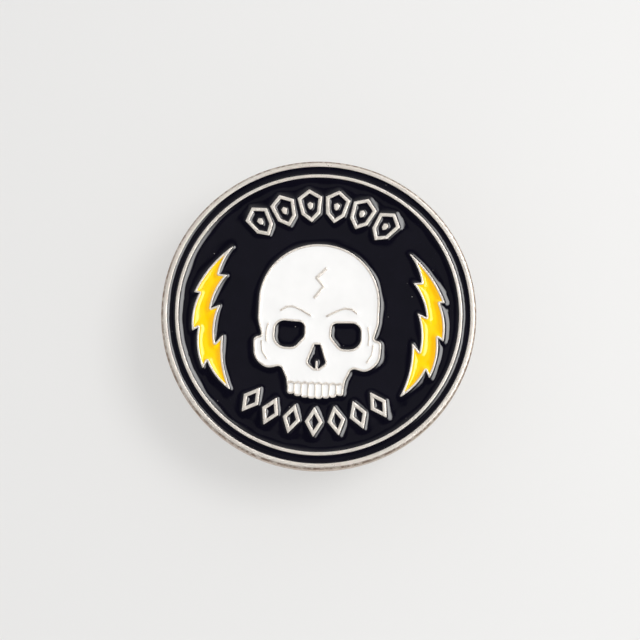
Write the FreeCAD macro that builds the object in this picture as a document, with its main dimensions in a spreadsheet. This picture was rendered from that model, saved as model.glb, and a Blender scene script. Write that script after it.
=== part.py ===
import FreeCAD, Part
import math
import os
import re
import Sketcher
from FreeCAD import Rotation, Vector

# Round soft-enamel lapel pin, millimetres.
# The pin stands upright as it is worn: +Z is the top of the artwork, the front
# faces -Y and the flat back of the plate lies in the plane y = 0. The origin is
# the middle of that back face. The two posts point along +Y.

DRIVING_SIZES = [
    # struck plate
    ("plate_diameter", 30.0),
    ("plate_thickness", 1.5),
    ("shoulder_radius", 0.3),
    ("back_edge_radius", 0.15),
    ("relief_depth", 0.5),
    ("enamel_thickness", 0.34),
    ("rim_width", 0.58),
    ("band_width", 0.76),
    ("ring_width", 0.32),
    # raised metal lines of the artwork
    ("skull_line", 0.2),
    ("bolt_line", 0.2),
    ("ornament_line", 0.34),
    ("fine_line", 0.21),
    ("crack_line", 0.3),
    # skull
    ("skull_half_width", 5.75),
    ("skull_top", 6.7),
    ("skull_bottom", -8.3),
    ("tooth_count", 8),
    ("tooth_pitch", 0.66),
    ("gum_height", -6.9),
    # lightning bolts, in degrees above and below the horizontal and in radii
    ("bolt_outer_radius", 12.05),
    ("bolt_inner_radius", 9.45),
    ("bolt_outer_notch", 0.5),
    ("bolt_inner_notch", 0.8),
    ("bolt_flare", 0.09),
    ("bolt_tip_lean", 0.4),
    ("bolt_half_angle", 41.7),
    ("bolt_drop_angle", 3.0),
    ("bolt_hook_angle", 1.2),
    ("bolt_first_outer_jag", 0.38),
    ("bolt_first_inner_jag", 0.22),
    ("bolt_jag_pitch", 0.215),
    ("bolt_bow", 0.075),
    ("bolt_corner_radius", 0.06),
    # ornaments above and below the skull
    ("gem_count", 6),
    ("gem_pitch_angle", 13.8),
    ("gem_band_radius", 10.55),
    ("gem_height", 3.3),
    ("gem_width", 2.4),
    ("gem_taper", 0.75),
    ("lozenge_count", 7),
    ("lozenge_pitch_angle", 11.6),
    ("lozenge_band_radius", 10.5),
    ("lozenge_height", 2.9),
    ("lozenge_width", 1.7),
    ("stud_scale", 0.24),
    # posts, soldered in shallow recesses of the back
    ("post_offset", 6.5),
    ("post_rise", 1.5),
    ("recess_radius", 1.9),
    ("recess_depth", 0.25),
    ("post_head_radius", 1.6),
    ("post_head_thickness", 0.5),
    ("post_radius", 0.55),
    ("post_length", 8.65),
    ("post_tip_length", 1.0),
    ("post_tip_radius", 0.08),
    ("groove_radius", 0.42),
    ("groove_start", 5.35),
    ("groove_length", 1.05),
    ("solder_radius", 1.86),
    ("solder_edge", 0.2),
    # butterfly clutches; heights are measured from the rim of the clutch plate
    ("fabric_gap", 2.4),
    ("sheet_thickness", 0.3),
    ("clutch_radius", 5.75),
    ("roll_radius", 0.32),
    ("hub_radius", 3.5),
    ("hub_height", 0.75),
    ("clutch_hole_radius", 0.75),
    ("cap_radius", 3.2),
    ("cap_height", 2.55),
    ("cap_edge_radius", 0.45),
    ("slot_width", 3.5),
    ("slot_bottom", 1.75),
    ("slot_top", 3.0),
    ("wing_width", 3.2),
    ("wing_leg_height", 1.75),
    ("wing_leg_reach", 2.15),
    ("wing_pivot_height", 2.45),
    ("wing_pivot_reach", 3.05),
    ("wing_pivot_radius", 0.26),
    ("wing_ear_height", 5.0),
    ("wing_ear_reach", 5.2),
    ("wing_bite_radius", 0.62),
    ("wing_corner_radius", 1.1),
    ("spring_wire_radius", 0.26),
    ("spring_ring_radius", 0.88),
    ("spring_height", 2.86),
    ("spring_angle", 315.0),
]

doc = FreeCAD.newDocument("enamel_pin")


def make_sheet():
    sheet = doc.addObject("Spreadsheet::Sheet", "sizes")
    for row, (alias, value) in enumerate(DRIVING_SIZES, start=1):
        sheet.set(f"A{row}", alias)
        sheet.set(f"B{row}", str(value))
        sheet.setAlias(f"B{row}", alias)
    doc.recompute()
    return sheet


sizes = make_sheet()


def formula(text):
    """Write a formula of bare size names in the form an expression needs."""
    return re.sub(r"[a-z]\w*", r"sizes.\g<0>", text)


def value(text):
    return float(sizes.evalExpression(formula(text)))


def bind(target, name, text):
    target.setExpression(name, formula(text))


# ---------------------------------------------------------------- sketches


def new_sketch(body, role, name, lift=None):
    """Sketch on one of the body's own origin planes, moved along its normal."""
    plane = next(item for item in body.Origin.OriginFeatures if item.Role == role)
    sketch = body.newObject("Sketcher::SketchObject", name)
    sketch.AttachmentSupport = (plane, [""])
    sketch.MapMode = "FlatFace"
    if lift:
        bind(sketch, "AttachmentOffset.Base.z", lift)
    return sketch


def dimension(sketch, kind, place, text):
    index = sketch.addConstraint(Sketcher.Constraint(kind, *place, value(text)))
    bind(sketch, f"Constraints[{index}]", text)


def pin_point(sketch, geometry, corner, across, up):
    """Hold one point of the sketch at (across, up), both given as formulas."""
    for kind, axis, text in (("DistanceX", -2, across), ("DistanceY", -1, up)):
        if text == "0":
            place = (geometry, corner, axis)
            sketch.addConstraint(Sketcher.Constraint("PointOnObject", *place))
        else:
            dimension(sketch, kind, (-1, 1, geometry, corner), text)


def add_circle(sketch, across, up, radius):
    centre = Vector(value(across), value(up), 0)
    circle = Part.Circle(centre, Vector(0, 0, 1), value(radius))
    index = sketch.addGeometry(circle)
    dimension(sketch, "Radius", (index,), radius)
    pin_point(sketch, index, 3, across, up)


def add_loop(sketch, corners):
    """Closed loop of straight lines; every corner is a pair of formulas."""
    points = [Vector(value(across), value(up), 0) for across, up in corners]
    count = len(points)
    first = sketch.GeometryCount
    for index in range(count):
        line = Part.LineSegment(points[index], points[(index + 1) % count])
        sketch.addGeometry(line)
    for index in range(count):
        following = first + (index + 1) % count
        join = Sketcher.Constraint("Coincident", first + index, 2, following, 1)
        sketch.addConstraint(join)
    for index, (across, up) in enumerate(corners):
        pin_point(sketch, first + index, 1, across, up)


# ---------------------------------------------------------------- body features


def new_body(label):
    body = doc.addObject("PartDesign::Body", label)
    body.Label = label
    return body


def pad(body, sketch, name, length, both_sides=False):
    feature = body.newObject("PartDesign::Pad", name)
    feature.Profile = sketch
    feature.SideType = "Symmetric" if both_sides else "One side"
    bind(feature, "Length", length)
    doc.recompute()
    return feature


def pocket(body, sketch, name, depth=None, reverse=False):
    """Cut of the given depth, or right through on both sides without one."""
    before = body.Shape.Volume
    feature = body.newObject("PartDesign::Pocket", name)
    feature.Profile = sketch
    feature.Reversed = reverse
    if depth:
        bind(feature, "Length", depth)
    else:
        feature.SideType = "Symmetric"
        feature.Type = "ThroughAll"
    doc.recompute()
    if body.Shape.Volume >= before:
        raise RuntimeError(f"{name} removed no material")
    return feature


def revolve(body, name, corners):
    """Turn a loop in the half plane x > 0 about the body's own Y axis."""
    sketch = new_sketch(body, "XY_Plane", f"{name}_profile")
    add_loop(sketch, corners)
    return turn_sketch(body, sketch, name)


def turn_sketch(body, sketch, name):
    feature = body.newObject("PartDesign::Revolution", name)
    feature.Profile = sketch
    feature.ReferenceAxis = (sketch, ["V_Axis"])
    feature.Angle = 360
    doc.recompute()
    return feature


def fillet(body, base, name, radius, wanted):
    """Round the edges of base for which wanted(edge) is true."""
    edges = enumerate(base.Shape.Edges, start=1)
    names = [f"Edge{number}" for number, edge in edges if wanted(edge)]
    if not names:
        raise RuntimeError(f"{name} found no edge")
    feature = body.newObject("PartDesign::Fillet", name)
    feature.Base = (base, names)
    bind(feature, "Radius", radius)
    doc.recompute()
    return feature


def is_circle(edge, radius, height):
    """True for a full circle about the Y axis at the given radius and height."""
    if edge.Curve.TypeId != "Part::GeomCircle":
        return False
    same_radius = abs(edge.Curve.Radius - radius) < 1e-4
    same_height = abs(edge.Curve.Center.y - height) < 1e-4
    return same_radius and same_height


# ---------------------------------------------------------------- artwork outlines
# The artwork lies in the plane y = 0 while it is drawn: x to the right and z up.


def rounded_outline(corners):
    """Closed wire of straight lines with an arc of its own radius at each corner."""
    count = len(corners)
    entries = []
    for index, (x, z, radius) in enumerate(corners):
        here = Vector(x, 0, z)
        before = corners[index - 1]
        after = corners[(index + 1) % count]
        back = (Vector(before[0], 0, before[1]) - here).normalize()
        ahead = (Vector(after[0], 0, after[1]) - here).normalize()
        half_angle = back.getAngle(ahead) / 2
        reach = radius / math.tan(half_angle)
        depth = radius / math.sin(half_angle) - radius
        middle = here + (back + ahead).normalize() * depth
        entries.append((here + back * reach, middle, here + ahead * reach))
    edges = []
    for index, (start, middle, end) in enumerate(entries):
        edges.append(Part.Arc(start, middle, end).toShape())
        next_start = entries[(index + 1) % count][0]
        if end.distanceToPoint(next_start) > 1e-5:
            edges.append(Part.LineSegment(end, next_start).toShape())
    return Part.Wire(Part.__sortEdges__(edges))


def filled(corners):
    return Part.Face(rounded_outline(corners))


def symmetric(right_side):
    """Corners of a shape that is the same left and right, from its right side."""
    left_side = [(-x, z, radius) for x, z, radius in reversed(right_side) if x > 0]
    return right_side + left_side


def mirrored(face):
    return face.mirror(Vector(0, 0, 0), Vector(1, 0, 0))


def joined(faces):
    """One face from overlapping faces."""
    return faces[0].fuse(faces[1:]).removeSplitter().Faces[0]


def stroke(points, width):
    """Round-ended line of constant width along points."""
    radius = width / 2
    pieces = []
    for (x1, z1), (x2, z2) in zip(points, points[1:]):
        start = Vector(x1, 0, z1)
        end = Vector(x2, 0, z2)
        along = (end - start).normalize()
        side = Vector(along.z, 0, -along.x) * radius
        edges = [
            Part.LineSegment(start + side, end + side).toShape(),
            Part.Arc(end + side, end + along * radius, end - side).toShape(),
            Part.LineSegment(end - side, start - side).toShape(),
            Part.Arc(start - side, start - along * radius, start + side).toShape(),
        ]
        pieces.append(Part.Face(Part.Wire(edges)))
    return pieces[0] if len(pieces) == 1 else joined(pieces)


def inset(face, distance):
    """Face made smaller all round by distance."""
    return Part.Face(face.OuterWire.makeOffset2D(-distance))


def tooth_places():
    count = int(value("tooth_count"))
    first = -(count - 1) / 2 * value("tooth_pitch")
    return [first + index * value("tooth_pitch") for index in range(count)]


def tooth_bottom(x):
    """The row of teeth is deepest in the middle and rises towards both ends."""
    return value("skull_bottom") + 0.07 * x * x


def skull_outline():
    """Plain front view of a skull: round vault, cheekbones and an upper jaw."""
    width = value("skull_half_width")
    head = symmetric([
        (width, value("skull_top"), width - 0.1),
        (width, -0.9, 2.4),
        (5.3, -2.45, 0.25),
        (6.1, -2.55, 0.5),
        (5.95, -4.7, 1.7),
        (4.7, -5.6, 1.1),
        (3.35, -5.25, 0.45),
        (2.8, -6.45, 0.8),
        (2.65, -7.3, 0.1),
    ])
    half_tooth = value("tooth_pitch") / 2 + 0.02
    teeth = []
    for x in tooth_places():
        low = tooth_bottom(x)
        corner = half_tooth * 0.75
        teeth.append(filled([
            (x - half_tooth, -7.0, 0.02),
            (x + half_tooth, -7.0, 0.02),
            (x + half_tooth, low, corner),
            (x - half_tooth, low, corner),
        ]))
    return joined([filled(head)] + teeth)


def eye_outline():
    """Right-hand eye socket, a rounded opening that leans down to the outside."""
    return filled([
        (1.1, -0.8, 0.75),
        (4.25, -0.65, 1.1),
        (4.35, -3.65, 1.3),
        (2.1, -3.65, 1.0),
        (1.05, -2.4, 0.9),
    ])


def nose_outline():
    right_side = [(0.42, -2.9, 0.3), (1.12, -4.95, 0.55), (0.3, -5.6, 0.35)]
    return filled(symmetric(right_side))


def septum():
    """Short raised line that rises from the bottom of the nose opening."""
    return stroke([(0, -5.6), (0, -4.75)], value("fine_line"))


def skull_strokes():
    """Thin raised lines inside the skull: brows, cheeks, crack, gums and teeth."""
    width = value("fine_line")
    brow = stroke([(0.8, -0.3), (1.7, 0.2), (2.5, 0.5), (3.1, 0.45), (3.6, 0.1)], width)
    temple = stroke([(4.75, -1.3), (4.9, -2.1), (4.85, -2.9)], width)
    cheek = stroke([(5.3, -3.0), (5.2, -3.9), (4.75, -4.6)], width)
    crack_line = [(0.5, 4.3), (-0.35, 3.4), (0.35, 2.6), (-0.45, 1.5)]
    crack = stroke(crack_line, value("crack_line"))
    strokes = [crack]
    for line in (brow, temple, cheek):
        strokes += [line, mirrored(line)]
    half_tooth = value("tooth_pitch") / 2
    gum = value("gum_height")
    for x in tooth_places():
        arch = [(x - half_tooth, gum), (x, gum + 0.15), (x + half_tooth, gum)]
        strokes.append(stroke(arch, width))
    for x in tooth_places()[1:]:
        gap = x - half_tooth
        strokes.append(stroke([(gap, gum), (gap, tooth_bottom(gap))], width))
    return strokes


def bolt_corners():
    """Corners of the right-hand bolt as (radius, angle), down its outer side first.

    Three jags are stacked on each side; each has a tip and then a notch.
    """
    top = value("bolt_half_angle")
    outer = value("bolt_outer_radius")
    inner = value("bolt_inner_radius")
    middle = (outer + inner) / 2
    flare = value("bolt_flare")
    hook = value("bolt_hook_angle")
    outer_side = []
    inner_side = []
    for jag in range(3):
        below = value("bolt_jag_pitch") * jag
        angle = top - 2 * top * (value("bolt_first_outer_jag") + below)
        outer_side.append((outer + flare * jag, angle))
        outer_side.append((outer - value("bolt_outer_notch"), angle + hook * jag))
        angle = top - 2 * top * (value("bolt_first_inner_jag") + below)
        notch = angle - hook * (jag + 1)
        inner_side.insert(0, (inner + value("bolt_inner_notch"), notch))
        inner_side.insert(0, (inner - flare * jag, angle))
    top_tip = (middle - value("bolt_tip_lean"), top)
    bottom_tip = (middle + value("bolt_tip_lean"), -top)
    return [top_tip] + outer_side + [bottom_tip] + inner_side


def bolt_outline():
    """Right-hand lightning bolt, whose long edges bow outwards with the rim."""
    points = []
    for radius, angle in bolt_corners():
        turn = math.radians(angle - value("bolt_drop_angle"))
        points.append(Vector(radius * math.cos(turn), 0, radius * math.sin(turn)))
    one_side = len(points) // 2
    edges = []
    for index, start in enumerate(points):
        end = points[(index + 1) % len(points)]
        # on each side every second edge is the short straight hook of a jag
        if index % one_side % 2:
            edges.append(Part.LineSegment(start, end).toShape())
            continue
        middle = (start + end) / 2
        outward = Vector(middle).normalize()
        middle += outward * (end - start).Length * value("bolt_bow")
        edges.append(Part.Arc(start, middle, end).toShape())
    radius = value("bolt_corner_radius")
    shrunk = Part.Wire(edges).makeOffset2D(-radius)
    return Part.Face(shrunk.makeOffset2D(radius))


def gem_outline(scale=1.0):
    """Tall six-sided ornament about the origin, wider above than below."""
    tall = value("gem_height") / 2 * scale
    wide = value("gem_width") / 2 * scale
    low_wide = wide * value("gem_taper")
    right_side = [(wide, tall * 0.5), (low_wide, -tall * 0.5)]
    corners = [(0, tall)] + right_side + [(0, -tall)]
    corners += [(-x, z) for x, z in reversed(right_side)]
    return filled([(x, z, 0.05) for x, z in corners])


def lozenge_outline():
    """Four-sided ornament about the origin."""
    tall = value("lozenge_height") / 2
    wide = value("lozenge_width") / 2
    corners = [(0, tall), (wide, 0), (0, -tall), (-wide, 0)]
    return filled([(x, z, 0.05) for x, z in corners])


def ornament_angles(kind):
    """Clockwise angles from the middle of a row of ornaments."""
    count = int(value(f"{kind}_count"))
    pitch = value(f"{kind}_pitch_angle")
    return [(index - (count - 1) / 2) * pitch for index in range(count)]


def ornament_row(kind, face, start_angle):
    """Copies of face, upright on their band, around the plate's middle."""
    row = []
    for angle in ornament_angles(kind):
        copy = face.copy()
        copy.translate(Vector(0, 0, value(f"{kind}_band_radius")))
        copy.rotate(Vector(0, 0, 0), Vector(0, 1, 0), start_angle + angle)
        row.append(copy)
    return row


def artwork_areas():
    """Every enamel cell of the artwork as flat faces, by name."""
    disc_radius = value("plate_diameter/2 - rim_width - band_width - ring_width")
    disc = Part.Face(Part.Wire(Part.Circle(
        Vector(0, 0, 0), Vector(0, 1, 0), disc_radius).toShape()))
    skull = skull_outline()
    eye = eye_outline()
    nose = nose_outline()
    bolt = bolt_outline()
    gem = gem_outline()
    lozenge = lozenge_outline()
    gem_counter = inset(gem, value("ornament_line"))
    gem_counter = gem_counter.cut(gem_outline(value("stud_scale")))
    lozenge_counter = inset(lozenge, value("ornament_line"))
    raised = [skull, bolt, mirrored(bolt)]
    raised += ornament_row("gem", gem, 0)
    raised += ornament_row("lozenge", lozenge, 180)
    white = inset(skull, value("skull_line"))
    white = white.cut([eye, mirrored(eye), nose] + skull_strokes())
    eye_floor = inset(eye, value("skull_line"))
    bolt_floor = inset(bolt, value("bolt_line"))
    return {
        "enamel_field": [disc.cut(raised)],
        "enamel_skull": [white],
        "enamel_eye_right": [eye_floor],
        "enamel_eye_left": [mirrored(eye_floor)],
        "enamel_nose": [inset(nose, value("skull_line")).cut(septum())],
        "enamel_bolt_right": [bolt_floor],
        "enamel_bolt_left": [mirrored(bolt_floor)],
        "enamel_top_ornaments": ornament_row("gem", gem_counter, 0),
        "enamel_bottom_ornaments": ornament_row("lozenge", lozenge_counter, 180),
    }


# ---------------------------------------------------------------- plate and enamel


def floor_height():
    return "plate_thickness - relief_depth"


def make_blank():
    """Round plate with its rim shoulder, outer band recess and post recesses."""
    body = new_body("plate_blank")
    disc = new_sketch(body, "XZ_Plane", "disc_circle")
    add_circle(disc, "0", "0", "plate_diameter/2")
    plate = pad(body, disc, "disc", "plate_thickness")
    radius = value("plate_diameter/2")
    front = -value("plate_thickness")
    shoulder = fillet(body, plate, "shoulder", "shoulder_radius",
                      lambda edge: is_circle(edge, radius, front))
    fillet(body, shoulder, "back_edge", "back_edge_radius",
           lambda edge: is_circle(edge, radius, 0))
    band = new_sketch(body, "XZ_Plane", "band_circles", "plate_thickness")
    add_circle(band, "0", "0", "plate_diameter/2 - rim_width")
    add_circle(band, "0", "0", "plate_diameter/2 - rim_width - band_width")
    pocket(body, band, "band_recess", "relief_depth")
    seats = new_sketch(body, "XZ_Plane", "post_seats")
    for across in ("post_offset", "-post_offset"):
        add_circle(seats, across, "post_rise", "recess_radius")
    pocket(body, seats, "post_recesses", "recess_depth", reverse=True)
    return body


def make_outer_band():
    """Black enamel ring between the rim and the inner raised ring."""
    body = new_body("enamel_outer_band")
    ring = new_sketch(body, "XZ_Plane", "ring_circles", floor_height())
    add_circle(ring, "0", "0", "plate_diameter/2 - rim_width")
    add_circle(ring, "0", "0", "plate_diameter/2 - rim_width - band_width")
    pad(body, ring, "ring", "enamel_thickness")
    return body


def make_extrusion(label, area, length):
    feature = doc.addObject("Part::Extrusion", label)
    feature.Label = label
    feature.Base = area
    feature.DirMode = "Custom"
    feature.Dir = Vector(0, -1, 0)
    feature.Solid = True
    bind(feature, "LengthFwd", length)
    return feature


def make_artwork(blank):
    """Enamel in every cell of the artwork, and the plate with those cells cut."""
    enamels = {}
    recesses = []
    for label, faces in artwork_areas().items():
        area = doc.addObject("Part::Feature", f"{label}_area")
        area.Shape = Part.makeCompound(faces)
        bind(area, "Placement.Base.y", f"-({floor_height()})")
        enamels[label] = make_extrusion(label, area, "enamel_thickness")
        recesses.append(make_extrusion(f"{label}_recess", area, "relief_depth*2"))
    cells = doc.addObject("Part::Compound", "artwork_recesses")
    cells.Links = recesses
    plate = doc.addObject("Part::Cut", "struck_base")
    plate.Label = "struck_base"
    plate.Base = blank
    plate.Tool = cells
    return plate, enamels


# ---------------------------------------------------------------- posts and clutches


def seat_on_post(part, side, height, turned=False):
    """Stand a part that was made about the Y axis on the left or right post."""
    if turned:
        part.Placement = FreeCAD.Placement(Vector(), Rotation(Vector(0, 1, 0), 180))
    sign = "" if side == "right" else "-"
    bind(part, "Placement.Base.x", f"{sign}post_offset")
    bind(part, "Placement.Base.y", height)
    bind(part, "Placement.Base.z", "post_rise")


def make_post(side):
    """Headed post with a grip groove and a pointed free end."""
    body = new_body(f"post_{side}")
    revolve(body, "turned_post", [
        ("0", "0"),
        ("post_head_radius", "0"),
        ("post_head_radius", "post_head_thickness*0.6"),
        ("post_head_radius - 0.25", "post_head_thickness"),
        ("post_radius", "post_head_thickness"),
        ("post_radius", "groove_start"),
        ("groove_radius", "groove_start + groove_length/2"),
        ("post_radius", "groove_start + groove_length"),
        ("post_radius", "post_length - post_tip_length"),
        ("post_tip_radius", "post_length"),
        ("0", "post_length"),
    ])
    seat_on_post(body, side, "-recess_depth")
    return body


def make_solder(side):
    """Ring of solder around the post head, inside its recess."""
    body = new_body(f"solder_{side}")
    revolve(body, "solder_ring", [
        ("post_head_radius", "0"),
        ("solder_radius", "0"),
        ("solder_radius", "solder_edge"),
        ("post_head_radius + 0.08", "solder_edge + 0.05"),
        ("post_head_radius", "solder_edge + 0.1"),
    ])
    seat_on_post(body, side, "-recess_depth")
    return body


def make_clutch_plate(side):
    """Dished round plate with a raised hub and a rolled rim."""
    body = new_body(f"clutch_plate_{side}")
    revolve(body, "dish", [
        ("clutch_hole_radius", "hub_height"),
        ("hub_radius", "hub_height"),
        ("hub_radius + 0.35", "hub_height - 0.35"),
        ("clutch_radius - roll_radius", "roll_radius - 0.12"),
        ("clutch_radius - roll_radius", "roll_radius + 0.18"),
        ("hub_radius + 0.5", "hub_height - 0.05"),
        ("hub_radius + 0.15", "hub_height + sheet_thickness"),
        ("clutch_hole_radius", "hub_height + sheet_thickness"),
    ])
    roll = new_sketch(body, "XY_Plane", "roll_circle")
    add_circle(roll, "clutch_radius - roll_radius", "roll_radius", "roll_radius")
    turn_sketch(body, roll, "rolled_rim")
    seat_on_post(body, side, "fabric_gap")
    return body


def make_clutch_cap(side):
    """Round cap over the grip, with a slot at the top and bottom for the wings."""
    body = new_body(f"clutch_cap_{side}")
    foot = "hub_height + sheet_thickness"
    roof = f"{foot} + cap_height"
    shell = revolve(body, "cap_shell", [
        ("cap_radius - sheet_thickness", foot),
        ("cap_radius", foot),
        ("cap_radius", roof),
        ("clutch_hole_radius", roof),
        ("clutch_hole_radius", f"{roof} - sheet_thickness"),
        ("cap_radius - sheet_thickness", f"{roof} - sheet_thickness"),
    ])
    rounded = fillet(body, shell, "cap_edge", "cap_edge_radius",
                     lambda edge: is_circle(edge, value("cap_radius"), value(roof)))
    inner = value("cap_radius - sheet_thickness")
    ceiling = value(f"{roof} - sheet_thickness")
    fillet(body, rounded, "cap_inside_edge", "cap_edge_radius - sheet_thickness",
           lambda edge: is_circle(edge, inner, ceiling))
    slots = new_sketch(body, "XY_Plane", "wing_slots")
    add_loop(slots, [
        ("-slot_width/2", "slot_bottom"),
        ("slot_width/2", "slot_bottom"),
        ("slot_width/2", "slot_top"),
        ("-slot_width/2", "slot_top"),
    ])
    pocket(body, slots, "wing_openings")
    seat_on_post(body, side, "fabric_gap")
    return body


def make_wing(side, level):
    """Bent strip that rocks on a round bead in the cap's slot.

    Its leg reaches in to the post and its finger ear stands outside the cap.
    """
    body = new_body(f"clutch_wing_{level}_{side}")
    strip = new_sketch(body, "YZ_Plane", "strip_profile")
    add_loop(strip, [
        ("wing_leg_height", "wing_bite_radius - 0.2"),
        ("wing_leg_height", "wing_leg_reach"),
        ("wing_pivot_height - 0.15", "wing_pivot_reach - 0.4"),
        ("wing_pivot_height - 0.15", "wing_pivot_reach + 0.45"),
        ("wing_ear_height - 0.1", "wing_ear_reach"),
        ("wing_ear_height", "wing_ear_reach - 0.28"),
        ("wing_pivot_height + 0.15", "wing_pivot_reach + 0.28"),
        ("wing_pivot_height + 0.15", "wing_pivot_reach - 0.5"),
        ("wing_leg_height + sheet_thickness", "wing_leg_reach - 0.15"),
        ("wing_leg_height + sheet_thickness", "wing_bite_radius - 0.2"),
    ])
    bent = pad(body, strip, "bent_strip", "wing_width", both_sides=True)
    ear_height = value("wing_ear_height") - 0.2

    def is_ear_corner(edge):
        straight = edge.Curve.TypeId == "Part::GeomLine"
        at_ear = edge.CenterOfMass.y > ear_height
        return straight and at_ear and edge.Length < value("sheet_thickness") * 1.5

    fillet(body, bent, "ear_corners", "wing_corner_radius", is_ear_corner)
    bead = new_sketch(body, "YZ_Plane", "pivot_circle")
    add_circle(bead, "wing_pivot_height", "wing_pivot_reach", "wing_pivot_radius")
    pad(body, bead, "pivot_bead", "wing_width", both_sides=True)
    bite = new_sketch(body, "XZ_Plane", "bite_circle")
    add_circle(bite, "0", "0", "wing_bite_radius")
    pocket(body, bite, "post_bite")
    seat_on_post(body, side, "fabric_gap", turned=level == "lower")
    return body


def make_grip_spring(side):
    """Open ring of spring wire around the post, under the roof of the cap."""
    ring = doc.addObject("Part::Torus", f"grip_spring_{side}")
    ring.Label = f"grip_spring_{side}"
    bind(ring, "Radius1", "spring_ring_radius")
    bind(ring, "Radius2", "spring_wire_radius")
    bind(ring, "Angle3", "spring_angle")
    ring.Placement = FreeCAD.Placement(Vector(), Rotation(Vector(1, 0, 0), -90))
    seat_on_post(ring, side, "fabric_gap + spring_height")
    return ring


# ---------------------------------------------------------------- assembly


def make_pin():
    blank = make_blank()
    plate, enamels = make_artwork(blank)
    parts = {"struck_base": plate, "enamel_outer_band": make_outer_band()}
    parts.update(enamels)
    for side in ("left", "right"):
        pieces = [
            make_post(side),
            make_solder(side),
            make_clutch_plate(side),
            make_clutch_cap(side),
            make_wing(side, "upper"),
            make_wing(side, "lower"),
            make_grip_spring(side),
        ]
        parts.update((piece.Label, piece) for piece in pieces)
    return parts


def check(parts):
    for item in doc.Objects:
        if "Invalid" in item.State or "Error" in item.State:
            raise RuntimeError(f"{item.Name} did not build: {item.State}")
    for label, item in parts.items():
        if item.Shape.isNull() or not item.Shape.isValid():
            raise RuntimeError(f"{label} has no valid shape")
        if not item.Shape.Solids:
            raise RuntimeError(f"{label} holds no solid")


def write(parts):
    os.makedirs("parts", exist_ok=True)
    for label, item in parts.items():
        item.Shape.exportStep(f"parts/{label}.step")


pin_parts = make_pin()
doc.recompute()
check(pin_parts)
write(pin_parts)
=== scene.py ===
import math

import bpy
import numpy as np
from mathutils import Matrix, Vector, geometry, kdtree


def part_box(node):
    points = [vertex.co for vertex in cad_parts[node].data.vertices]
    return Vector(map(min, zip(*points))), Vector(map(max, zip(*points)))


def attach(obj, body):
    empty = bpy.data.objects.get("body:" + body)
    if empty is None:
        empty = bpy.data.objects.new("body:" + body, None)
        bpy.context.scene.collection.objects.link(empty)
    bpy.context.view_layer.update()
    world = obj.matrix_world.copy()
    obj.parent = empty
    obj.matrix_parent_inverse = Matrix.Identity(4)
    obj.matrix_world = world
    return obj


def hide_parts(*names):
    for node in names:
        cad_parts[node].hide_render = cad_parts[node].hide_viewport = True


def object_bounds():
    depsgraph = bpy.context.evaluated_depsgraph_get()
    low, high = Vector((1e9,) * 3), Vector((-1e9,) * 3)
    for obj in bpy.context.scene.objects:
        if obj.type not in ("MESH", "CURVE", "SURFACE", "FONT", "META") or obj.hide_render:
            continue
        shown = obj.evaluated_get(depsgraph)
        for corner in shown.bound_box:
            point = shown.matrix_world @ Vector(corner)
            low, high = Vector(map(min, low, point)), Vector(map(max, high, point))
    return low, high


# The looks of a round soft-enamel pin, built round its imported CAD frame.
# Outlines, heights and the places of all pieces come from the frame. The
# shapes are worked out in millimetres in the plate's plane (x, z), with the
# front at the lowest y, and become metres when a mesh is made. The stage is
# in metres.

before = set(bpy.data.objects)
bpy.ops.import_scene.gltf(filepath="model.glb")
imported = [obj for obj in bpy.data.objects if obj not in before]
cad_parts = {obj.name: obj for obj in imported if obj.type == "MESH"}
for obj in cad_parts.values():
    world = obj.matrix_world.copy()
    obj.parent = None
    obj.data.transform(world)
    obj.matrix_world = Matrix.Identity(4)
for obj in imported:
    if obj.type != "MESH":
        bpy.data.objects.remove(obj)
cad_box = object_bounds()
MM = 0.001

# Outlines
OUTLINE_STEP = 0.12       # spacing of points along an outline
CORNER_TURN = 0.5         # radians of turn that count as a true corner
STRAIGHT_RATIO = 2.5      # a chord this much longer than the next is straight
FLATNESS = 0.001          # a face is flat if its corners are this close in height
MATCH_DIGITS = 4          # decimals to which two corners have to agree
MERGE_DISTANCE = 1e-7     # points closer than this become one in a triangulation
RING_CLEARANCE = 0.97     # share of its distance that a ring point keeps clear
ROW_SPACING = 0.87        # rows of a staggered grid, as a share of its step

# Struck metal
EDGE_ROUND = 0.055        # rounding of every raised metal line
EDGE_ANGLES = (30, 60, 90)    # where that rounding gets points, in degrees
EDGE_GAP = 0.07           # spacing of those points along a line
SHOULDER_STEPS = 7        # points along the rounding of the front edge
BACK_STEPS = 4            # and of the back edge
WALL_SHARES = (0.25, 0.5, 0.75)    # how far along the side wall points stand
BACK_GRID = 1.5           # spacing of points on the flat back
BACK_MARGIN = 0.6         # how far they keep from its edges

# Enamel
ENAMEL_DROP = 0.01        # it meets the metal this far below the rounding
THINNEST_ENAMEL = 0.05
ENAMEL_RINGS = (          # distance in from the outline, spacing along it
    (0.03, 0.09), (0.08, 0.1), (0.15, 0.12), (0.25, 0.15),
    (0.38, 0.2), (0.55, 0.25), (0.8, 0.3), (1.1, 0.4))
MIDDLE_GRID = 0.55        # spacing of points in the middle of a wide cell
MIDDLE_MARGIN = 1.4       # how far they keep from its outline
# radians per millimetre along x and z, and the start of each wave
SETTLE_WAVES = ((0.9, 1.3, 0.7), (1.9, -1.1, 2.1), (-0.7, 2.3, 4.0))
SETTLE_WAVINESS = 0.1
SETTLE_BY_RING = 0.7      # how much more widely it settles near the inner ring
SETTLE_REACH = 1.44       # how far in from that ring this starts
SETTLE_FADE = 1.1         # the width over which it grows to its full amount
WIDEST_SETTLING = 1.75


# ------------------------------------------------------------------ outlines


def corners_mm(node):
    """Low and high corners of a node's box."""
    low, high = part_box(node)
    return np.array(low) / MM, np.array(high) / MM


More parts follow.
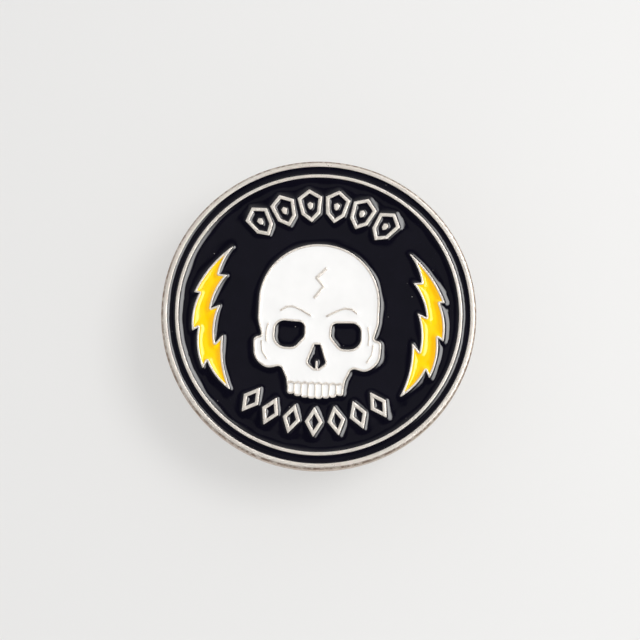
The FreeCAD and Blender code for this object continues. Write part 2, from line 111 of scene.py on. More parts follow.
def flat_loops(node, back=False):
    """Outlines of a node's flat front or back face, as (x, z) loops.

    The face lies on the left of each loop when it is seen from the front.
    """
    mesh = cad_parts[node].data
    places = np.array([vertex.co for vertex in mesh.vertices]) / MM
    level = places[:, 1].max() if back else places[:, 1].min()
    edges = set()
    for polygon in mesh.polygons:
        corners = places[list(polygon.vertices)]
        if np.abs(corners[:, 1] - level).max() > FLATNESS:
            continue
        keys = [tuple(np.round(corner[[0, 2]], MATCH_DIGITS)) for corner in corners]
        if back:
            keys.reverse()
        edges.update(zip(keys, keys[1:] + keys[:1]))
    following = {a: b for a, b in edges if (b, a) not in edges}
    loops = []
    while following:
        start = min(following)
        loop = [start]
        point = following.pop(start)
        while point != start:
            loop.append(point)
            point = following.pop(point)
        loops.append(np.array(loop))
    return loops


def smooth_loop(loop):
    """Follow a faceted outline with a smooth curve that keeps true corners."""
    chord = np.roll(loop, -1, axis=0) - loop
    length = np.hypot(chord[:, 0], chord[:, 1])
    ahead = chord / length[:, None]
    behind = np.roll(ahead, 1, axis=0)
    length_behind = np.roll(length, 1)
    turn = np.arccos(np.clip((ahead * behind).sum(1), -1, 1))
    total = (length + length_behind)[:, None]
    tangent = (ahead * length_behind[:, None] + behind * length[:, None]) / total
    straight_ahead = length > STRAIGHT_RATIO * length_behind
    straight_behind = length_behind > STRAIGHT_RATIO * length
    tangent[straight_ahead] = ahead[straight_ahead]
    tangent[straight_behind] = behind[straight_behind]
    tangent /= np.hypot(tangent[:, 0], tangent[:, 1])[:, None]
    is_corner = turn > CORNER_TURN
    leaving = np.where(is_corner[:, None], ahead, tangent)
    arriving = np.where(is_corner[:, None], behind, tangent)
    points = []
    for index, start in enumerate(loop):
        after = (index + 1) % len(loop)
        end = loop[after]
        pieces = max(1, round(length[index] / OUTLINE_STEP))
        first_pull = leaving[index] * length[index]
        last_pull = arriving[after] * length[index]
        for t in np.arange(pieces) / pieces:
            points.append(
                start * (2 * t**3 - 3 * t**2 + 1)
                + first_pull * (t**3 - 2 * t**2 + t)
                + end * (3 * t**2 - 2 * t**3)
                + last_pull * (t**3 - t**2)
            )
    return np.array(points)


class FlatArea:
    """A flat area inside closed loops, and the distance from those loops."""

    def __init__(self, loops, free_loops=()):
        """free_loops bound the area but don't count as an edge of it."""
        self.loops = list(free_loops) + list(loops)
        self.points = np.vstack(self.loops)
        self.following = np.empty(len(self.points), int)
        self.previous = np.empty(len(self.points), int)
        start = 0
        for loop in self.loops:
            index = np.arange(start, start + len(loop))
            self.following[index] = np.roll(index, -1)
            self.previous[index] = np.roll(index, 1)
            start += len(loop)
        self.free_count = sum(len(loop) for loop in free_loops)
        self.tree = kdtree.KDTree(len(self.points) - self.free_count)
        for index in range(self.free_count, len(self.points)):
            x, z = self.points[index]
            self.tree.insert((x, z, 0), index)
        self.tree.balance()

    def inward(self):
        """Direction into the area at each point of its outlines."""
        chord = self.points[self.following] - self.points[self.previous]
        normal = np.stack([-chord[:, 1], chord[:, 0]], 1)
        return normal / np.hypot(normal[:, 0], normal[:, 1])[:, None]

    def distance(self, places):
        """Distance of each place from the nearest counted outline."""
        nearest = np.array([self.tree.find((x, z, 0))[1] for x, z in places])
        best = np.full(len(places), np.inf)
        for first in (self.previous[nearest], nearest):
            start = self.points[first]
            chord = self.points[self.following[first]] - start
            reach = ((places - start) * chord).sum(1) / (chord * chord).sum(1)
            foot = start + chord * np.clip(reach, 0, 1)[:, None]
            away = np.hypot(*(places - foot).T)
            best = np.minimum(best, away)
        return best


def ring_points(area, rings):
    """Points at each (distance, gap along the outline) in from the outlines."""
    inward = area.inward()
    found = []
    for distance, gap in rings:
        candidates = (area.points + inward * distance)[area.free_count:]
        clear = area.distance(candidates) > distance * RING_CLEARANCE
        candidates = candidates[clear]
        cells = np.round(candidates / gap).astype(int)
        _, first = np.unique(cells, axis=0, return_index=True)
        found.append(candidates[np.sort(first)])
    return np.vstack(found)


def grid_points(area, step, margin):
    """Staggered grid over the area's box, further than margin from its loops."""
    low = area.points.min(0)
    high = area.points.max(0)
    rows = np.arange(low[1], high[1], step * ROW_SPACING)
    grid = []
    for number, z in enumerate(rows):
        shift = step / 2 if number % 2 else 0
        grid += [(x + shift, z) for x in np.arange(low[0], high[0], step)]
    grid = np.array(grid)
    return grid[area.distance(grid) > margin]


def triangulate(area, inner):
    """Triangles over the area's outline points and then the inner points.

    Returns the places, the triangles inside the area and those outside it.
    """
    places = np.vstack([area.points, inner]) if len(inner) else area.points
    edges = [(index, int(after)) for index, after in enumerate(area.following)]
    result = geometry.delaunay_2d_cdt(
        [Vector(place) for place in places], edges, [], 0, MERGE_DISTANCE)
    original = [sources[0] for sources in result[3]]
    triangles = []
    owner = {}
    for face in result[2]:
        corners = [original[index] for index in face]
        number = len(triangles)
        triangles.append(corners)
        for start, end in zip(corners, corners[1:] + corners[:1]):
            owner[start, end] = number
    outline = set(edges)
    waiting = [owner[edge] for edge in edges if edge in owner]
    inside = set(waiting)
    while waiting:
        corners = triangles[waiting.pop()]
        for start, end in zip(corners, corners[1:] + corners[:1]):
            if (start, end) in outline or (end, start) in outline:
                continue
            neighbour = owner.get((end, start))
            if neighbour is not None and neighbour not in inside:
                inside.add(neighbour)
                waiting.append(neighbour)
    kept = [triangles[number] for number in sorted(inside)]
    left = [corners for number, corners in enumerate(triangles)
            if number not in inside]
    return places, kept, left


# ------------------------------------------------------------------ meshes


class Shell:
    """A closed mesh under construction, in millimetres."""

    def __init__(self):
        self.vertices = []
        self.faces = []

    def add(self, places, heights):
        """Vertices at (x, z) places and y heights; returns their numbers."""
        heights = np.broadcast_to(heights, len(places))
        first = len(self.vertices)
        self.vertices += [(x, y, z) for (x, z), y in zip(places, heights)]
        return np.arange(first, len(self.vertices))

    def cover(self, numbers, triangles, reverse=False):
        """Add triangles, whose corners count along numbers."""
        for triangle in triangles:
            face = [int(numbers[corner]) for corner in triangle]
            self.faces.append(face[::-1] if reverse else face)

    def wall(self, numbers, lower, following):
        """Strip from each outline point to its copy in lower."""
        for index, after in enumerate(following):
            self.faces.append([int(numbers[after]), int(numbers[index]),
                               int(lower[index]), int(lower[after])])

    def build(self, name, material, sharp_degrees):
        """The finished piece, without the vertices that no face uses."""
        mesh = bpy.data.meshes.new(name)
        vertices = [(x * MM, y * MM, z * MM) for x, y, z in self.vertices]
        used = sorted({corner for face in self.faces for corner in face})
        renumber = {old: new for new, old in enumerate(used)}
        mesh.from_pydata([vertices[old] for old in used], [],
                         [[renumber[corner] for corner in face]
                          for face in self.faces])
        mesh.polygons.foreach_set("use_smooth", [True] * len(mesh.polygons))
        mesh.set_sharp_from_angle(angle=math.radians(sharp_degrees))
        mesh.materials.append(material)
        mesh.validate()
        piece = bpy.data.objects.new(name, mesh)
        bpy.context.scene.collection.objects.link(piece)
        return piece


def line_height(distance, top):
    """Height of struck metal near the edge of a raised line: a round shoulder."""
    share = np.clip(distance / EDGE_ROUND, 0, 1)
    return top + EDGE_ROUND * (1 - np.sqrt(1 - (1 - share) ** 2))


def make_struck_base(material):
    """Plate with rounded raised lines, recess floors, shoulder and back."""
    low, high = corners_mm("struck_base")
    top = low[1]
    floor = corners_mm("enamel_field")[1][1]
    loops = [smooth_loop(loop) for loop in flat_loops("struck_base")]
    loops.sort(key=lambda loop: -np.ptp(loop[:, 0]))
    area = FlatArea(loops[1:], free_loops=loops[:1])
    shares = 1 - np.cos(np.radians(EDGE_ANGLES))
    rings = [(EDGE_ROUND * share, EDGE_GAP) for share in shares]
    places, metal, sunk = triangulate(area, ring_points(area, rings))
    shell = Shell()
    heights = line_height(area.distance(places), top)
    heights[:area.free_count] = top
    tops = shell.add(places, heights)
    shell.cover(tops, metal)
    lows = shell.add(area.points, floor)
    shell.cover(lows, sunk)
    inner = np.arange(area.free_count, len(area.points))
    renumbered = area.following[inner] - area.free_count
    shell.wall(tops[inner], lows[inner], renumbered)
    rim = area.points[:area.free_count]
    make_side(shell, rim, tops[:area.free_count], top, high[0])
    return shell.build("struck_base_relief", material, sharp_degrees=50)


def make_side(shell, rim, numbers, top, radius):
    """Rounded shoulder, side and back of the plate, joined to its front rim."""
    following = np.roll(np.arange(len(rim)), -1)
    outward = rim / np.hypot(rim[:, 0], rim[:, 1])[:, None]
    flat_radius = np.hypot(*rim[0])
    shoulder = radius - flat_radius
    back_loops = [smooth_loop(loop) for loop in flat_loops("struck_base", back=True)]
    back_loops.sort(key=lambda loop: -np.ptp(loop[:, 0]))
    back_radius = np.hypot(*back_loops[0][0])
    back_round = radius - back_radius
    profile = []
    for angle in np.linspace(0, math.pi / 2, SHOULDER_STEPS)[1:]:
        across = flat_radius + shoulder * math.sin(angle)
        profile.append((across, top + shoulder * (1 - math.cos(angle))))
    for share in WALL_SHARES:
        profile.append((radius, (top + shoulder) * (1 - share) - back_round * share))
    for angle in np.linspace(0, math.pi / 2, BACK_STEPS):
        across = back_radius + back_round * math.cos(angle)
        profile.append((across, -back_round * (1 - math.sin(angle))))
    for across, height in profile:
        lower = shell.add(outward * across, height)
        shell.wall(numbers, lower, following)
        numbers = lower
    make_back(shell, outward * back_radius, numbers, back_loops[1:])


def make_back(shell, rim, rim_numbers, seats):
    """Flat back with the two round recesses that hold the post heads."""
    area = FlatArea(seats, free_loops=[rim])
    grid = grid_points(area, BACK_GRID, BACK_MARGIN)
    grid = grid[np.hypot(*grid.T) < np.hypot(*rim[0]) - BACK_MARGIN]
    for seat in seats:
        centre = seat.mean(0)
        radius = np.hypot(*(seat[0] - centre))
        grid = grid[np.hypot(*(grid - centre).T) > radius]
    places, flat, sunk = triangulate(area, grid)
    rest = shell.add(places[len(rim):], 0.0)
    numbers = np.concatenate([rim_numbers, rest])
    shell.cover(numbers, flat, reverse=True)
    seat_floor = corners_mm("post_left")[0][1]
    lows = shell.add(area.points, seat_floor)
    shell.cover(lows, sunk, reverse=True)
    inner = np.arange(len(rim), len(area.points))
    for index in inner:
        after = area.following[index]
        shell.faces.append([int(numbers[index]), int(numbers[after]),
                            int(lows[after]), int(lows[index])])


def settling(places):
    """How widely enamel settles at each place: about 1, and more by the inner ring."""
    x, z = places.T
    wave = sum(np.sin(along_x * x + along_z * z + start)
               for along_x, along_z, start in SETTLE_WAVES)
    ring = corners_mm("enamel_field")[1][2]
    near_ring = np.clip((np.hypot(x, z) - ring + SETTLE_REACH) / SETTLE_FADE, 0, 1)
    spread = (1 + SETTLE_WAVINESS * wave) * (1 + SETTLE_BY_RING * near_ring)
    return np.minimum(spread, WIDEST_SETTLING)


def make_enamel(node, material, dip, reach):
    """Enamel of one node: it climbs the metal at its edge and dips inside.

    dip is how far the middle of a wide cell sinks below the edge, and reach is
    how far in from the edge the surface takes to settle.
    """
    bottom_height = corners_mm(node)[1][1]
    plate_top = corners_mm("struck_base")[0][1]
    contact = plate_top + EDGE_ROUND + ENAMEL_DROP
    area = FlatArea([smooth_loop(loop) for loop in flat_loops(node)])
    inner = ring_points(area, ENAMEL_RINGS)
    middle = grid_points(area, MIDDLE_GRID, MIDDLE_MARGIN)
    if len(middle):
        inner = np.vstack([inner, middle])
    places, inside, _ = triangulate(area, inner)
    shell = Shell()
    spread = settling(places)
    sink = dip * spread * (1 - np.exp(-area.distance(places) / (reach * spread)))
    tops = shell.add(places, np.minimum(contact + sink, bottom_height - THINNEST_ENAMEL))
    lows = shell.add(area.points, bottom_height)
    shell.cover(tops, inside)
    _, bottom, _ = triangulate(area, np.empty((0, 2)))
    shell.cover(lows, bottom, reverse=True)
    shell.wall(tops[:len(area.points)], lows, area.following)
    piece = shell.build(f"{node}_fill", material, sharp_degrees=60)
    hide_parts(node)
    return piece


# ------------------------------------------------------------------ materials

NOISE_ROUGHNESS = 0.55
USUAL_NOISE = (0.3, 0.7)     # nearly all noise values lie between these
SOFT_SPREAD = 0.2            # half the range of noise over which a colour changes
CRISP_SPREAD = 0.15
FRONT = (0, -1, 0)
BACK = (0, 1, 0)

# Light and dark tone of each metal
NICKEL = ((1.0, 0.94, 0.87), (0.94, 0.87, 0.79))
# the side's two tones are painted shade on the walls and slopes
NICKEL_SHADED_SIDE = ((0.66, 0.56, 0.48), (0.50, 0.41, 0.34))
NICKEL_BACK = ((0.80, 0.76, 0.70), (0.60, 0.56, 0.50))
BRASS = ((0.90, 0.68, 0.32), (0.80, 0.55, 0.22))
WORN_METALLIC = 0.62         # the flat tops aren't quite a mirror

TARNISH = (0.50, 0.43, 0.36)
# brown painted shade on the plate's shoulder and along the back of its side wall
BROWN_SHADE = (0.28, 0.21, 0.165)
EDGE_SHADE_INSET = (0.25, 0.15)    # mm in from the plate's edge where the painted shade starts and is full
FRONT_SHADE_DEPTH = (0.8, 0.9)     # the same in mm forward of the plate's back
BACK_SHADE_DEPTH = (0.5, 0.1)      # the same for the painted shade along the back of the wall

DUST = (0.55, 0.53, 0.50)
ENAMEL_IOR = 1.52
SHADED_SIDE = (-1, 0, -0.25)     # slopes that face this way get a deeper, painted shade
SHADED_SLOPE = (0.08, 0.34)      # how far they face it, for none and all of that


def grey(level):
    return (level, level, level)


class Graph:
    """A node tree, and short ways to add nodes to it and wire them."""

    def __init__(self, tree):
        self.tree = tree

    def feed(self, slot, value):
        """Put another node's output, a colour or a number into a slot."""
        if isinstance(value, bpy.types.NodeSocket):
            self.tree.links.new(value, slot)
        elif isinstance(value, tuple):
            slot.default_value = (*value, 1.0)
        else:
            slot.default_value = value

    def add(self, kind, inputs=None, **settings):
        """A new node with these settings, fed through the named or numbered slots."""
        node = self.tree.nodes.new(f"ShaderNode{kind}")
        for name, setting in settings.items():
            setattr(node, name, setting)
        for slot, value in (inputs or {}).items():
            self.feed(node.inputs[slot], value)
        return node

    def maths(self, operation, *values):
        node = self.add("Math", dict(enumerate(values)), operation=operation)
        return node.outputs[0]

    def product(self, first, *others):
        for other in others:
            first = self.maths("MULTIPLY", first, other)
        return first

    def dot(self, vector, direction):
        node = self.add("VectorMath", {0: vector, 1: Vector(direction)},
                        operation="DOT_PRODUCT")
        return node.outputs["Value"]

    def ramp(self, source, low, high, start=0.0, end=1.0, smooth=False):
        """Map source from low..high to start..end, clamped."""
        slots = {"Value": source, "From Min": low, "From Max": high,
                 "To Min": start, "To Max": end}
        node = self.add("MapRange", slots,
                        interpolation_type="SMOOTHSTEP" if smooth else "LINEAR")
        return node.outputs["Result"]

    def blend(self, share, first, second):
        """Colour between first and second."""
        node = self.add("Mix", {"Factor": share, 6: first, 7: second},
                        data_type="RGBA")
        return node.outputs[2]

    def mix_shaders(self, share, first, second):
        node = self.add("MixShader", {0: share, 1: first, 2: second})
        return node.outputs[0]


class Paint(Graph):
    """A Principled material and its usual surface effects."""

    def __init__(self, name):
        self.material = bpy.data.materials.new(name)
        self.material.use_nodes = True
        super().__init__(self.material.node_tree)
        self.shader = self.tree.nodes["Principled BSDF"]
        self.place = self.add("TexCoord").outputs["Object"]

    def set(self, **values):
        """Feed the shader's inputs, with _ for each space in an input's name."""
        for name, value in values.items():
            self.feed(self.shader.inputs[name.replace("_", " ")], value)

    def noise(self, scale, detail=3.0, stretch=None):
        """Noise with features about 1/scale metres across.

        stretch multiplies the scale along each axis.
        """
        place = self.place
        if stretch:
            mapping = self.add("Mapping", {"Vector": place, "Scale": Vector(stretch)})
            place = mapping.outputs["Vector"]
        node = self.add("TexNoise", {"Vector": place, "Scale": scale,
                                     "Detail": detail, "Roughness": NOISE_ROUGHNESS})
        return node.outputs["Fac"]

    def cells(self, scale, flat=False):
        """Distance from scattered points, in space or in the plate's plane."""
        place, dimensions = (self.flat_place(), "2D") if flat else (self.place, "3D")
        node = self.add("TexVoronoi", {"Vector": place, "Scale": scale},
                        voronoi_dimensions=dimensions)
        return node.outputs["Distance"]

    def along(self, axis):
        """Position along the X, Y or Z axis, in metres."""
        return self.add("SeparateXYZ", {0: self.place}).outputs[axis]

    def flat_place(self):
        """Position in the plate's plane."""
        plane = self.add("CombineXYZ", {"X": self.along("X"), "Y": self.along("Z")})
        return plane.outputs[0]

    def from_middle(self):
        """Distance from the plate's own axis, in metres."""
        node = self.add("VectorMath", {0: self.flat_place()}, operation="LENGTH")
        return node.outputs["Value"]

    def facing(self, direction):
        """How much the surface faces a direction, from -1 to 1."""
        normal = self.add("NewGeometry").outputs["Normal"]
        return self.dot(normal, Vector(direction).normalized())

    def mottle(self, noise, first, second, spread=SOFT_SPREAD):
        """A colour that wanders from first to second with the noise."""
        return self.blend(self.ramp(noise, 0.5 - spread, 0.5 + spread), first, second)

    def wander(self, noise, low, high):
        """A value that wanders from low to high with the noise."""
        return self.ramp(noise, *USUAL_NOISE, low, high)

    def bump(self, height, depth_mm):
        """Add a bump of the given depth on top of any earlier one."""
        node = self.add("Bump", {"Height": height, "Distance": depth_mm * MM})
        normal = self.shader.inputs["Normal"]
        if normal.is_linked:
            self.feed(node.inputs["Normal"], normal.links[0].from_socket)
        self.feed(normal, node.outputs["Normal"])


def shaded_edge(paint, flat, colour):
    """Brown painted shade, broken by specks, on the plate's shoulder and along the back of
    its side wall.

    flat is 1 where the surface faces straight to the front or back, 0 on the wall.
    """
    radius = corners_mm("struck_base")[1][0]
    depth = paint.along("Y")
    starts, full = [(radius - inset) * MM for inset in EDGE_SHADE_INSET]
    outermost = paint.ramp(paint.from_middle(), starts, full)
    sloping = paint.ramp(flat, 0.1, 0.35)
    starts, full = [-height * MM for height in FRONT_SHADE_DEPTH]
    in_front = paint.ramp(depth, full, starts, 1.0, 0.0)
    shoulder = paint.product(outermost, sloping, in_front)
    starts, full = [-height * MM for height in BACK_SHADE_DEPTH]
    by_back = paint.ramp(depth, starts, full)
    wall = paint.product(by_back, paint.ramp(flat, 0.3, 0.7, 1.0, 0.0))
    specks = paint.ramp(paint.noise(2600), 0.35, 0.6, 0.45, 1.0)
    # painted shade, broken by specks
    edge_shade = paint.product(paint.maths("MAXIMUM", shoulder, wall), specks)
    return paint.blend(edge_shade, colour, BROWN_SHADE)


def nickel():
    """Bright struck plating: warm, softly rubbed, with painted shade on its side walls and
    slopes, and duller on its back.
    """
    paint = Paint("nickel_plate")
    tops = paint.facing(FRONT)
    flat = paint.maths("ABSOLUTE", tops)
    colour = paint.mottle(paint.noise(420, detail=5), *NICKEL, CRISP_SPREAD)
    patches = paint.ramp(paint.noise(330, detail=2), 0.47, 0.6)
    pits = paint.ramp(paint.cells(4200), 0.10, 0.24)
    clean = paint.maths("MAXIMUM", pits, paint.maths("SUBTRACT", 1.0, patches))
    colour = paint.blend(clean, TARNISH, colour)
    # streaks that trimming leaves across the side wall, in a darker tone that is painted
    # shade on every wall and slope
    trimmed = paint.noise(2200, stretch=(1, 0.06, 1))
    side = paint.mottle(trimmed, *NICKEL_SHADED_SIDE, CRISP_SPREAD)
    # painted shade: the darker tone wherever the surface turns away from the front and
    # back
    colour = paint.blend(paint.ramp(flat, 0.15, 0.75), side, colour)
    dull = paint.mottle(paint.noise(170, detail=5), *NICKEL_BACK, CRISP_SPREAD)
    colour = paint.blend(paint.ramp(paint.facing(BACK), 0.85, 0.97), colour, dull)
    colour = shaded_edge(paint, flat, colour)
    paint.set(Base_Color=colour,
              Metallic=paint.ramp(tops, 0.8, 0.97, 1.0, WORN_METALLIC),
              Roughness=paint.wander(paint.noise(2500), 0.36, 0.52))
    on_side = paint.ramp(flat, 0.1, 0.4, 1.0, 0.0)
    paint.bump(paint.noise(6500), 0.012)
    paint.bump(paint.noise(1600, detail=2), 0.02)
    paint.bump(clean, 0.01)
    paint.bump(paint.product(trimmed, on_side), 0.012)
    return paint.material


def enamel(name, colour, shade, roughness=0.07, shaded_tone=None, dust=0.0):
    """Glossy baked enamel with faint waves and tone variation.

    The deeper tone given for the slopes that face left, away from the light, is painted
    shade; dust is how strongly scattered specks of dust show.
    """
    paint = Paint(name)
    mixed = paint.mottle(paint.noise(450, detail=2), colour, shade)
    if shaded_tone:
        # painted shade: a deeper tone on the slopes that face left, away from the light
        share = paint.ramp(paint.facing(SHADED_SIDE), *SHADED_SLOPE)
        mixed = paint.blend(share, mixed, shaded_tone)
    if dust:
        specks = paint.ramp(paint.cells(240, flat=True), 0.003, 0.014, 1.0, 0.0)
        thinned = paint.ramp(paint.noise(160), 0.5, 0.62, 0.0, dust)
        mixed = paint.blend(paint.product(specks, thinned), mixed, DUST)
    paint.set(IOR=ENAMEL_IOR, Base_Color=mixed,
              Roughness=paint.wander(paint.noise(1500), roughness * 0.6, roughness * 1.6))
    paint.bump(paint.noise(350, detail=1), 0.02)
    return paint.material


def brass():
    """Bright rolled sheet, with faint rolling lines and warmer patches."""
    paint = Paint("clutch_brass")
    lines = paint.noise(700, stretch=(1, 1, 16))
    paint.set(Metallic=1.0, Roughness=paint.wander(lines, 0.15, 0.28),
              Base_Color=paint.mottle(paint.noise(380, detail=4), *BRASS))
    paint.bump(lines, 0.002)
    return paint.material


def steel(name, light, dark, smoothest, roughest):
    """Grey metal with fine lines drawn along the posts."""
    paint = Paint(name)
    lines = paint.noise(2600, stretch=(1, 0.1, 1))
    paint.set(Metallic=1.0, Roughness=paint.wander(lines, smoothest, roughest),
              Base_Color=paint.mottle(paint.noise(1200, detail=4), light, dark))
    paint.bump(lines, 0.003)
    return paint.material


# ------------------------------------------------------------------ stage

# Metres
FLOOR_GAP = 0.0002                   # clearance behind the clutches
FLOOR_HALF_WIDTH = 0.5
FLOOR_DIM_FROM = 0.03                # x where painted shade on the floor starts, towards the left
FLOOR_DIM_TO = -0.035                # and where it is darkest
KEY_PLACE = (0.19, -0.39, 0.055)
KEY_SIDE = 0.17
CAMERA_TARGET = (0.00015, -0.0013, -0.00068)
CAMERA_DISTANCE = 0.1690
CAMERA_NEAREST = 0.01

# Strengths, tints and greys
KEY_WATTS = 0.85
KEY_TINT = (1.0, 0.985, 0.96)
STUDIO_TINT = (1.0, 0.995, 0.985)
EVEN_TINT = (1.0, 0.997, 0.99)
EVEN_STRENGTH = 0.78
SOFTBOX_STRENGTH = 8.0
MIRRORED_STRENGTH = 0.14
SURROUND_STRENGTH = 0.8
MIDDLE_STRENGTH = 0.01               # the dark middle straight ahead
BEHIND_STRENGTH = (0.2, 1.0)         # shares of the surround, below and above
FLOOR_GLOW = 0.445                   # keeps the floor pale under the pin's shadow
FLOOR_GREY = 0.385
FLOOR_DARK_PATCH = 0.37
FLOOR_DIM_GREY = 0.325
BACKDROP_GREY = 0.86

# Directions
CAMERA_LENS_MM = 100
CAMERA_TURN = math.radians(0.5)      # to the right of straight on
CAMERA_ROLL = math.radians(2.6)
VIEW_RISE = math.radians(-11.8)      # the camera looks up at the front from below
MIRRORED_EDGE = math.radians(21)     # half angle where the mirrored glow ends
MIRRORED_CORE = math.radians(12)     # and where it is full
SOFTBOX_TILT = math.radians(42)      # from the plate's normal
SOFTBOX_RISE = math.radians(22)      # above the horizontal, from the right
SOFTBOX_HALF_WIDTH = 0.17            # tangents of its half angles
SOFTBOX_HALF_HEIGHT = 0.5
SOFTBOX_WIDTH_BLUR = 0.4             # shares of the half sizes over which it fades
SOFTBOX_HEIGHT_BLUR = 0.6
MIDDLE_FADE = (0.3, 0.85)            # cosines of angles from straight ahead
BEHIND_UPWARD = (0.25, 0, 1)         # the surround behind brightens this way
BEHIND_FADE = (-0.4, 0.7)            # how far along it, for least and most


def make_floor(material):
    """Pale surface behind the pin, seen only from the pin's side."""
    level = cad_box[1][1] + FLOOR_GAP
    corners = [(x * FLOOR_HALF_WIDTH, level, z * FLOOR_HALF_WIDTH)
               for x, z in ((-1, -1), (1, -1), (1, 1), (-1, 1))]
    mesh = bpy.data.meshes.new("floor")
    mesh.from_pydata(corners, [], [(0, 1, 2, 3)])
    mesh.materials.append(material)
    floor = bpy.data.objects.new("floor", mesh)
    bpy.context.scene.collection.objects.link(floor)


def floor_material():
    """Pale grey with painted shade that darkens it to the left and a faint glow that keeps
    it pale in the pin's shadow; clear when seen from behind.
    """
    paint = Paint("pale_floor")
    even = paint.mottle(paint.noise(9, detail=2), grey(FLOOR_GREY),
                        grey(FLOOR_DARK_PATCH), CRISP_SPREAD)
    # painted shade: the floor darkens towards the left
    bright = paint.ramp(paint.along("X"), FLOOR_DIM_TO, FLOOR_DIM_FROM)
    paint.set(Base_Color=paint.blend(bright, grey(FLOOR_DIM_GREY), even),
              Roughness=0.7, Specular_IOR_Level=0.2,
              Emission_Color=STUDIO_TINT, Emission_Strength=FLOOR_GLOW)
    shown = paint.mix_shaders(paint.add("NewGeometry").outputs["Backfacing"],
                              paint.shader.outputs["BSDF"],
                              paint.add("BsdfTransparent").outputs["BSDF"])
    paint.feed(paint.tree.nodes["Material Output"].inputs["Surface"], shown)
    return paint.material


def softbox_direction():
    across = math.sin(SOFTBOX_TILT)
    return Vector((across * math.cos(SOFTBOX_RISE), -math.cos(SOFTBOX_TILT),
                   across * math.sin(SOFTBOX_RISE)))


def softbox_shine(studio, outlook):
    """One tall soft-edged box of light, 1 in its middle."""
    forward = softbox_direction()
    side = Vector((0, 0, 1)).cross(forward).normalized()
    upward = forward.cross(side).normalized()
    facing = studio.dot(outlook, forward)
    ahead = studio.maths("MAXIMUM", facing, 0.001)
    shine = studio.maths("GREATER_THAN", facing, 0.0)
    for axis, half, blur in ((side, SOFTBOX_HALF_WIDTH, SOFTBOX_WIDTH_BLUR),
                             (upward, SOFTBOX_HALF_HEIGHT, SOFTBOX_HEIGHT_BLUR)):
        off = studio.maths("DIVIDE", studio.dot(outlook, axis), ahead)
        edge = studio.ramp(studio.maths("ABSOLUTE", off), half * (1 - blur),
                           half * (1 + blur), 1.0, 0.0, smooth=True)
        shine = studio.product(shine, edge)
    return shine


def surrounding_shine(studio, outlook):
    """Dark straight ahead and pale all round; behind the pin, darker below."""
    front = studio.dot(outlook, FRONT)
    around = studio.ramp(front, *MIDDLE_FADE, SURROUND_STRENGTH, MIDDLE_STRENGTH,
                         smooth=True)
    upward = studio.dot(outlook, BEHIND_UPWARD)
    behind = studio.ramp(upward, *BEHIND_FADE, *BEHIND_STRENGTH, smooth=True)
    ahead = studio.maths("GREATER_THAN", front, 0.0)
    return studio.product(around, studio.maths("MAXIMUM", behind, ahead))


def mirrored_shine(studio, outlook):
    """Faint glow where the flat front mirrors the camera's direction."""
    direction = (0, -math.cos(VIEW_RISE), -math.sin(VIEW_RISE))
    return studio.ramp(studio.dot(outlook, direction), math.cos(MIRRORED_EDGE),
                       math.cos(MIRRORED_CORE), 0.0, MIRRORED_STRENGTH, smooth=True)


def make_world():
    """Even pale studio; what shines sees a dark middle and one tall softbox."""
    world = bpy.data.worlds.new("studio")
    world.use_nodes = True
    bpy.context.scene.world = world
    studio = Graph(world.node_tree)
    studio.tree.nodes.clear()
    outlook = studio.add("TexCoord").outputs["Generated"]
    box = studio.product(softbox_shine(studio, outlook), SOFTBOX_STRENGTH)
    shine = studio.maths("ADD", surrounding_shine(studio, outlook), box)
    shine = studio.maths("ADD", shine, mirrored_shine(studio, outlook))

    def background(colour, strength):
        return studio.add("Background", {"Color": colour, "Strength": strength}).outputs[0]

    path = studio.add("LightPath").outputs
    lit = studio.mix_shaders(path["Is Glossy Ray"],
                             background(EVEN_TINT, EVEN_STRENGTH),
                             background(STUDIO_TINT, shine))
    seen = studio.mix_shaders(path["Is Camera Ray"], lit,
                              background(grey(BACKDROP_GREY), 1.0))
    studio.add("OutputWorld", {"Surface": seen})


def aim(thing, place, target, roll=0.0):
    """Stand a light or camera at place, looking at target."""
    direction = (Vector(target) - Vector(place)).normalized()
    turn = direction.to_track_quat("-Z", "Y").to_matrix().to_4x4()
    thing.matrix_world = (Matrix.Translation(place) @ turn
                          @ Matrix.Rotation(roll, 4, "Z"))


def make_key_light():
    """Square softbox to the right, a little above the pin."""
    light = bpy.data.lights.new("softbox", "AREA")
    light.shape = "RECTANGLE"
    light.size = KEY_SIDE
    light.size_y = KEY_SIDE
    light.energy = KEY_WATTS
    light.color = KEY_TINT
    lamp = bpy.data.objects.new("softbox", light)
    bpy.context.scene.collection.objects.link(lamp)
    aim(lamp, KEY_PLACE, (0, 0, 0))
    lamp.visible_glossy = False


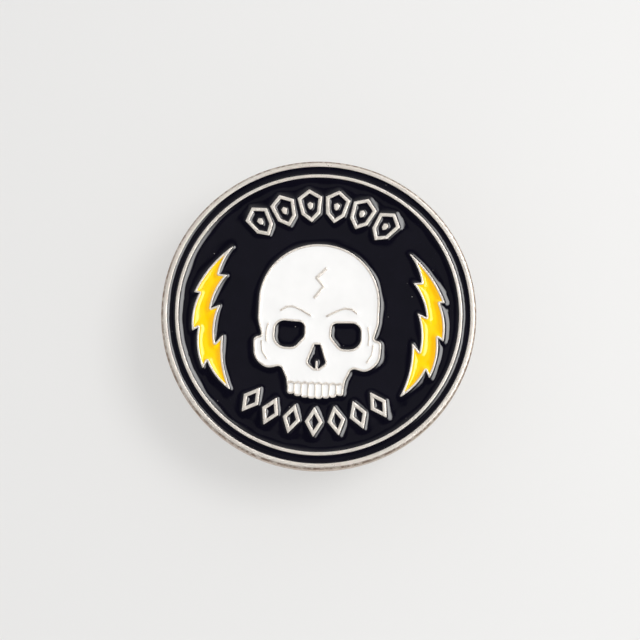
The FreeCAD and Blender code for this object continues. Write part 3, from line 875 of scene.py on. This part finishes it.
def make_camera():
    """A little below straight on, as a product photo is taken."""
    camera = bpy.data.cameras.new("camera")
    camera.lens = CAMERA_LENS_MM
    camera.clip_start = CAMERA_NEAREST
    view = bpy.data.objects.new("camera", camera)
    bpy.context.scene.collection.objects.link(view)
    offset = Vector((math.sin(CAMERA_TURN) * math.cos(VIEW_RISE),
                     -math.cos(CAMERA_TURN) * math.cos(VIEW_RISE),
                     math.sin(VIEW_RISE)))
    place = Vector(CAMERA_TARGET) + offset * CAMERA_DISTANCE
    aim(view, place, CAMERA_TARGET, CAMERA_ROLL)
    bpy.context.scene.camera = view


# ------------------------------------------------------------------ build

nickel_plate = nickel()
black_enamel = enamel("black_enamel", (0.0028, 0.0026, 0.0066), (0.0040, 0.0036, 0.0085),
                      dust=0.6)
white_enamel = enamel("white_enamel", grey(0.88), grey(0.84), 0.12)
# the yellow's deeper tone is painted shade on its slopes that face left
yellow_enamel = enamel("yellow_enamel", (0.97, 0.69, 0.0), (0.95, 0.63, 0.0), 0.14,
                       shaded_tone=(0.96, 0.52, 0.0))
clutch_brass = brass()
post_steel = steel("post_steel", (0.74, 0.72, 0.69), (0.6, 0.58, 0.55), 0.18, 0.34)
solder = steel("solder", (0.62, 0.61, 0.59), (0.45, 0.44, 0.42), 0.4, 0.6)
spring_steel = steel("spring_steel", grey(0.65), grey(0.5), 0.2, 0.35)

# material, slot, dip and reach of the enamel, nodes
ENAMELS = [
    (black_enamel, "black_enamel", 0.22, 0.36, (
        "enamel_field", "enamel_eye_left", "enamel_eye_right", "enamel_nose",
        "enamel_top_ornaments", "enamel_bottom_ornaments")),
    (black_enamel, "black_enamel", 0.11, 0.18, ("enamel_outer_band",)),
    (white_enamel, "white_enamel", 0.12, 0.3, ("enamel_skull",)),
    (yellow_enamel, "yellow_enamel", 0.33, 0.5, ("enamel_bolt_left", "enamel_bolt_right")),
]

base = make_struck_base(nickel_plate)
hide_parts("struck_base")
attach(base, "badge")
for material, slot_name, dip, reach, nodes in ENAMELS:
    for node in nodes:
        fill = make_enamel(node, material, dip, reach)
        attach(fill, "badge")

FINISHES = {"post": post_steel, "solder": solder, "clutch": clutch_brass,
            "grip": spring_steel}
for name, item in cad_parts.items():
    finish = FINISHES.get(name.split("_")[0])
    if finish:
        item.data.materials.clear()
        item.data.materials.append(finish)

make_floor(floor_material())
make_world()
make_key_light()
make_camera()
bpy.context.scene.view_settings.view_transform = "Standard"
